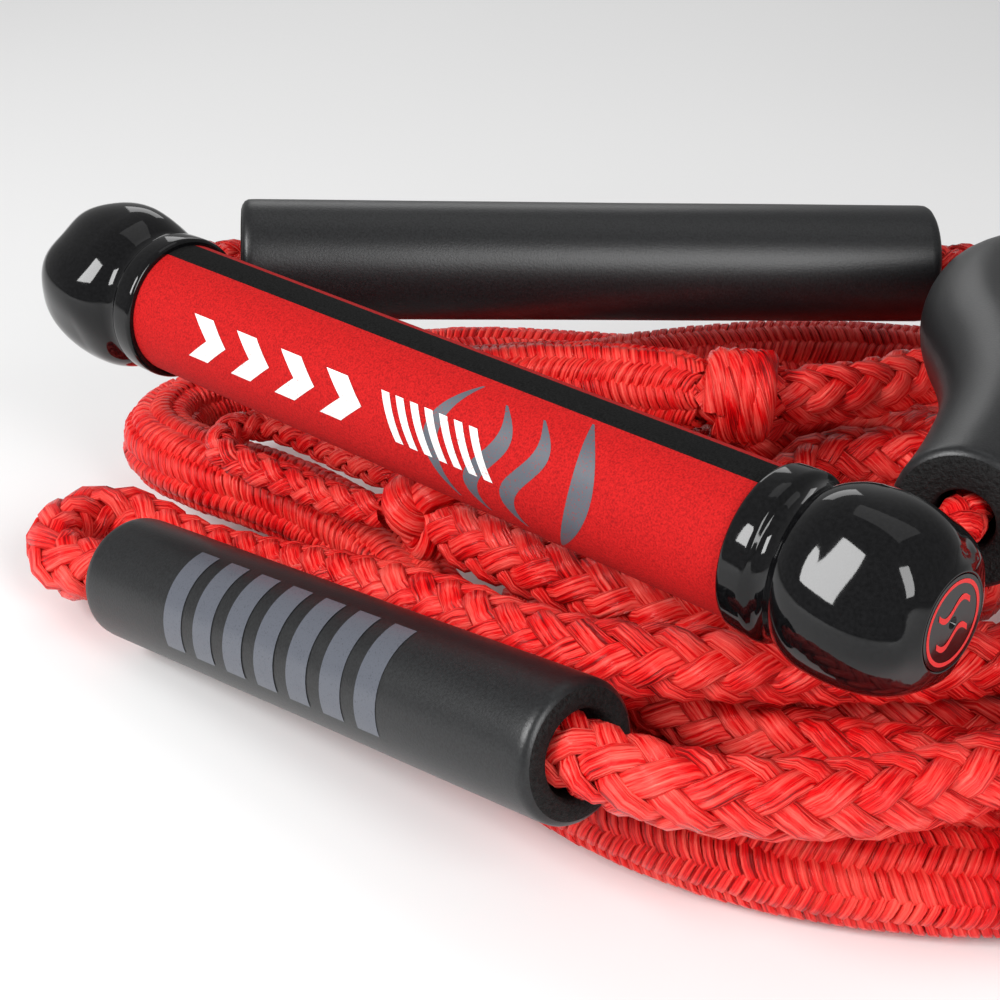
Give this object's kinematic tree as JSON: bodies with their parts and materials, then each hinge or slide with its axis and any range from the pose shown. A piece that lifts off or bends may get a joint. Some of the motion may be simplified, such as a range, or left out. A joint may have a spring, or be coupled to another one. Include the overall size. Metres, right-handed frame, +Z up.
{
  "type": "tow rope handle",
  "caption": "Short tow handle with a foam grip and bulb end caps on a rope bridle with foam floats, its stretch section and hollow-braid line coiled beneath it.",
  "frame": {"origin": "middle of the grip, on the handle bar's axis", "axes": "+X along the bar towards the right-hand end cap, +Y horizontally away from the grip towards the bridle's junction, +Z up from the surface that the coiled line lies on"},
  "size_m": [0.3349, 0.3126, 0.0925],
  "materials": {
    "bar_metal": "satin",
    "red_foam": "matte",
    "black_foam": "matte",
    "cap_rubber": "gloss",
    "bush_plastic": "matte",
    "red_rope": "satin",
    "latex": "matte"
  },
  "bodies": {
    "line": {"line_coil": "red_rope", "line_lead": "red_rope", "line_run": "red_rope", "line_knot": "red_rope", "boat_loop": "red_rope", "section_wrap": "red_rope", "bungee_sheath": "red_rope", "bungee_core": "latex", "bungee_knot": "red_rope", "link_loop": "red_rope"},
    "line_float": {"line_float": "black_foam"},
    "bridle": {"bridle_leg_left": "red_rope", "bridle_leg_right": "red_rope", "right_leg_float": "black_foam", "bridle_seizing": "red_rope", "bridle_eye": "red_rope"},
    "left_leg_float": {"left_leg_float": "black_foam"},
    "handle": {"bar_tube": "bar_metal", "grip_sleeve": "red_foam", "grip_strip": "black_foam", "tube_bush_left": "bush_plastic", "tube_bush_right": "bush_plastic", "end_cap_left": "cap_rubber", "end_cap_right": "cap_rubber", "end_plug_left": "cap_rubber", "end_plug_right": "cap_rubber", "bridle_rope_in_bar": "red_rope"}
  },
  "joints": [
    {"name": "bridle_lift", "type": "hinge", "parent": "line", "child": "bridle", "pos_m": [0.143, 0.207, -0.019], "axis": [0, 1, 0], "range_deg": [0, 60]},
    {"name": "handle_tilt", "type": "hinge", "parent": "bridle", "child": "handle", "pos_m": [0, 0.0243, 0], "axis": [-1, 0, 0], "range_deg": [0, 50]},
    {"name": "left_leg_float_slide", "type": "slide", "parent": "bridle", "child": "left_leg_float", "axis": [0.6515, 0.7573, -0.0444], "range_m": [0, 0.01]},
    {"name": "line_float_slide", "type": "slide", "parent": "line", "child": "line_float", "axis": [0.9868, -0.0567, 0.1515], "range_m": [0, 0.01]}
  ]
}
